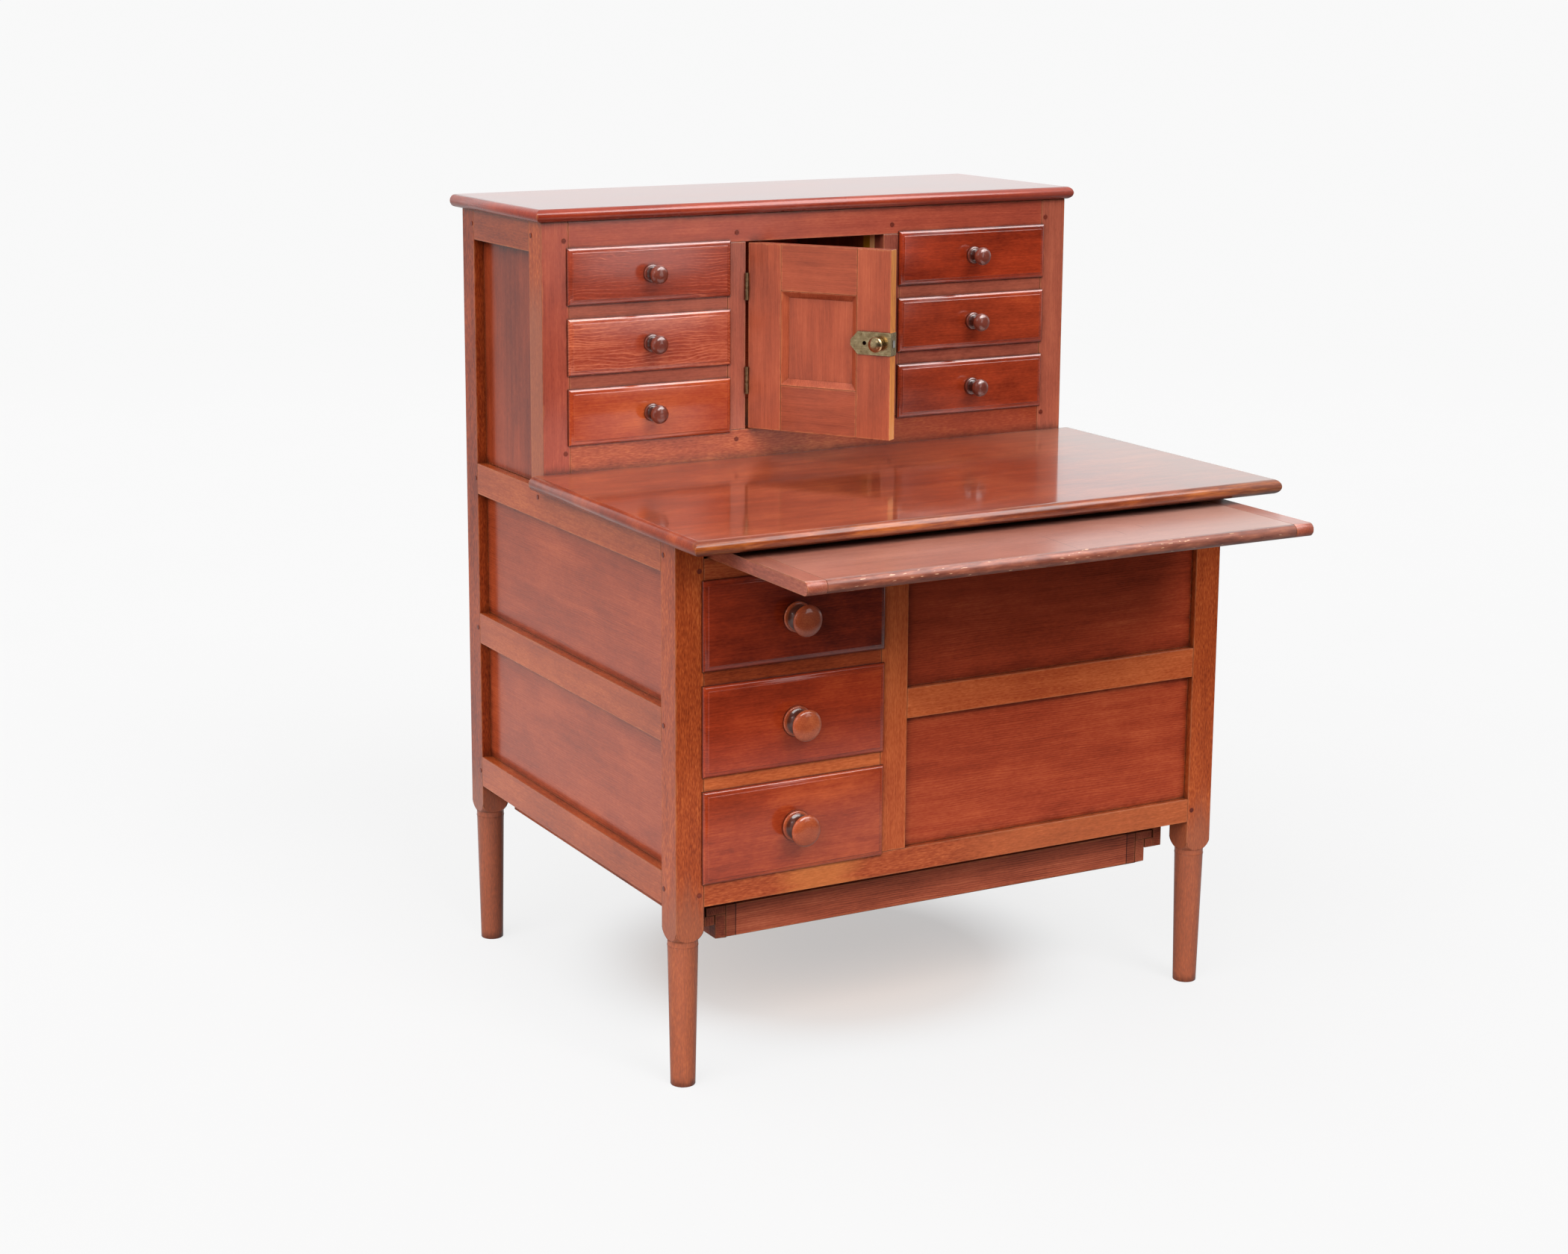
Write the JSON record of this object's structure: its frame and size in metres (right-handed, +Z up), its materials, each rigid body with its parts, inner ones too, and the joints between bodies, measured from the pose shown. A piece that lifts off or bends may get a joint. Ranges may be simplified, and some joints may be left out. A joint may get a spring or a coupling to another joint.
{
  "type": "sewing desk",
  "caption": "Sewing desk on turned legs with a gallery of small drawers round a cupboard door, case drawers, a pull-out board and a shallow tray below the case.",
  "frame": {"origin": "on the floor, below the middle of the whole desk's box as it stands with its board pulled out", "axes": "+X to the desk's right, +Y to its back, +Z up; the drawers of the front open towards -Y"},
  "size_m": [0.8156, 0.836, 0.9895],
  "materials": {
    "frame_wood": "dark red-brown stain under worn semi-gloss varnish",
    "panel_wood": "red-brown stain, broad grain, satin varnish",
    "top_wood": "red-brown stain, polished, nose worn to golden brown",
    "drawer_wood": "red-brown stain with strong wavy grain, semi-gloss varnish",
    "slide_wood": "pinkish brown, scratched and dulled by use",
    "inside_wood": "plain pale pine, unvarnished",
    "door_wood": "red-brown stain, semi-gloss varnish",
    "tray_wood": "rough matt red-brown pine with open straight grain",
    "knob_wood": "dark purple-brown turned wood, glossy",
    "peg_wood": "dark end grain",
    "old_brass": "aged, olive brown in the hollows",
    "bolt_steel": "dull grey, slightly stained"
  },
  "bodies": {
    "case": {"post_front_left": "frame_wood", "post_front_right": "frame_wood", "post_rear_left": "frame_wood", "post_rear_right": "frame_wood", "gallery_stile_left": "frame_wood", "gallery_stile_right": "frame_wood", "left_side_rails": "frame_wood", "right_side_rails": "frame_wood", "side_panels": "panel_wood", "front_top_rail": "frame_wood", "front_bottom_rail": "frame_wood", "front_muntin": "frame_wood", "front_dividers": "frame_wood", "front_panels": "panel_wood", "gallery_top_rail": "frame_wood", "gallery_bottom_rail": "frame_wood", "gallery_dividers": "frame_wood", "back_rails": "frame_wood", "back_panels": "panel_wood", "work_surface": "top_wood", "top_board": "top_wood", "base_boards": "inside_wood", "gallery_boards": "inside_wood", "runners": "inside_wood", "pegs": "peg_wood", "case_door_brass": "old_brass"},
    "slide": {"slide_board": "slide_wood", "slide_ends": "slide_wood"},
    "tray": {"tray": "tray_wood"},
    "gallery_drawer_left_1": {"gallery_drawer_left_1": "drawer_wood", "gallery_drawer_left_1_knob": "knob_wood"},
    "gallery_drawer_left_2": {"gallery_drawer_left_2": "drawer_wood", "gallery_drawer_left_2_knob": "knob_wood"},
    "gallery_drawer_left_3": {"gallery_drawer_left_3": "drawer_wood", "gallery_drawer_left_3_knob": "knob_wood"},
    "gallery_drawer_right_1": {"gallery_drawer_right_1": "drawer_wood", "gallery_drawer_right_1_knob": "knob_wood"},
    "gallery_drawer_right_2": {"gallery_drawer_right_2": "drawer_wood", "gallery_drawer_right_2_knob": "knob_wood"},
    "gallery_drawer_right_3": {"gallery_drawer_right_3": "drawer_wood", "gallery_drawer_right_3_knob": "knob_wood"},
    "front_drawer_low": {"front_drawer_low": "drawer_wood", "front_drawer_low_knob": "knob_wood"},
    "front_drawer_mid": {"front_drawer_mid": "drawer_wood", "front_drawer_mid_knob": "knob_wood"},
    "front_drawer_high": {"front_drawer_high": "drawer_wood", "front_drawer_high_knob": "knob_wood"},
    "side_drawer_low": {"side_drawer_low": "drawer_wood", "side_drawer_low_knobs": "knob_wood"},
    "side_drawer_mid": {"side_drawer_mid": "drawer_wood", "side_drawer_mid_knobs": "knob_wood"},
    "side_drawer_high": {"side_drawer_high": "drawer_wood", "side_drawer_high_knobs": "knob_wood"},
    "door": {"door_frame": "door_wood", "door_panel": "door_wood", "door_hinge_leaves": "old_brass", "lock_plate": "old_brass"},
    "lock_knob": {"lock_knob": "old_brass"},
    "lock_bolt": {"lock_bolt": "bolt_steel"}
  },
  "joints": [
    {"name": "slide_out", "type": "slide", "parent": "case", "child": "slide", "axis": [0, -1, 0], "range_m": [-0.21, 0.06]},
    {"name": "tray_out", "type": "slide", "parent": "case", "child": "tray", "axis": [0, -1, 0], "range_m": [0, 0.35]},
    {"name": "gallery_drawer_left_1_out", "type": "slide", "parent": "case", "child": "gallery_drawer_left_1", "axis": [0, -1, 0], "range_m": [0, 0.16]},
    {"name": "gallery_drawer_left_2_out", "type": "slide", "parent": "case", "child": "gallery_drawer_left_2", "axis": [0, -1, 0], "range_m": [0, 0.16]},
    {"name": "gallery_drawer_left_3_out", "type": "slide", "parent": "case", "child": "gallery_drawer_left_3", "axis": [0, -1, 0], "range_m": [0, 0.16]},
    {"name": "gallery_drawer_right_1_out", "type": "slide", "parent": "case", "child": "gallery_drawer_right_1", "axis": [0, -1, 0], "range_m": [0, 0.16]},
    {"name": "gallery_drawer_right_2_out", "type": "slide", "parent": "case", "child": "gallery_drawer_right_2", "axis": [0, -1, 0], "range_m": [0, 0.16]},
    {"name": "gallery_drawer_right_3_out", "type": "slide", "parent": "case", "child": "gallery_drawer_right_3", "axis": [0, -1, 0], "range_m": [0, 0.16]},
    {"name": "front_drawer_low_out", "type": "slide", "parent": "case", "child": "front_drawer_low", "axis": [0, -1, 0], "range_m": [0, 0.4]},
    {"name": "front_drawer_mid_out", "type": "slide", "parent": "case", "child": "front_drawer_mid", "axis": [0, -1, 0], "range_m": [0, 0.4]},
    {"name": "front_drawer_high_out", "type": "slide", "parent": "case", "child": "front_drawer_high", "axis": [0, -1, 0], "range_m": [0, 0.4]},
    {"name": "side_drawer_low_out", "type": "slide", "parent": "case", "child": "side_drawer_low", "axis": [1, 0, 0], "range_m": [0, 0.33]},
    {"name": "side_drawer_mid_out", "type": "slide", "parent": "case", "child": "side_drawer_mid", "axis": [1, 0, 0], "range_m": [0, 0.33]},
    {"name": "side_drawer_high_out", "type": "slide", "parent": "case", "child": "side_drawer_high", "axis": [1, 0, 0], "range_m": [0, 0.33]},
    {"name": "door_swing", "type": "hinge", "parent": "case", "child": "door", "pos_m": [-0.1072, 0.1537, 0.82], "axis": [0, 0, -1], "range_deg": [-57, 33]},
    {"name": "lock_knob_turn", "type": "hinge", "parent": "door", "child": "lock_knob", "pos_m": [-0.00696, 0.00137, 0.822], "axis": [-0.8387, -0.5446, 0], "range_deg": [0, 90]},
    {"name": "lock_bolt_slide", "type": "slide", "parent": "door", "child": "lock_bolt", "axis": [0.5446, -0.8387, 0], "range_m": [0, 0.005]}
  ],
  "couplings": [
    {"joint": "lock_knob_turn", "follows": "lock_bolt_slide", "rad_per_m": 314}
  ]
}
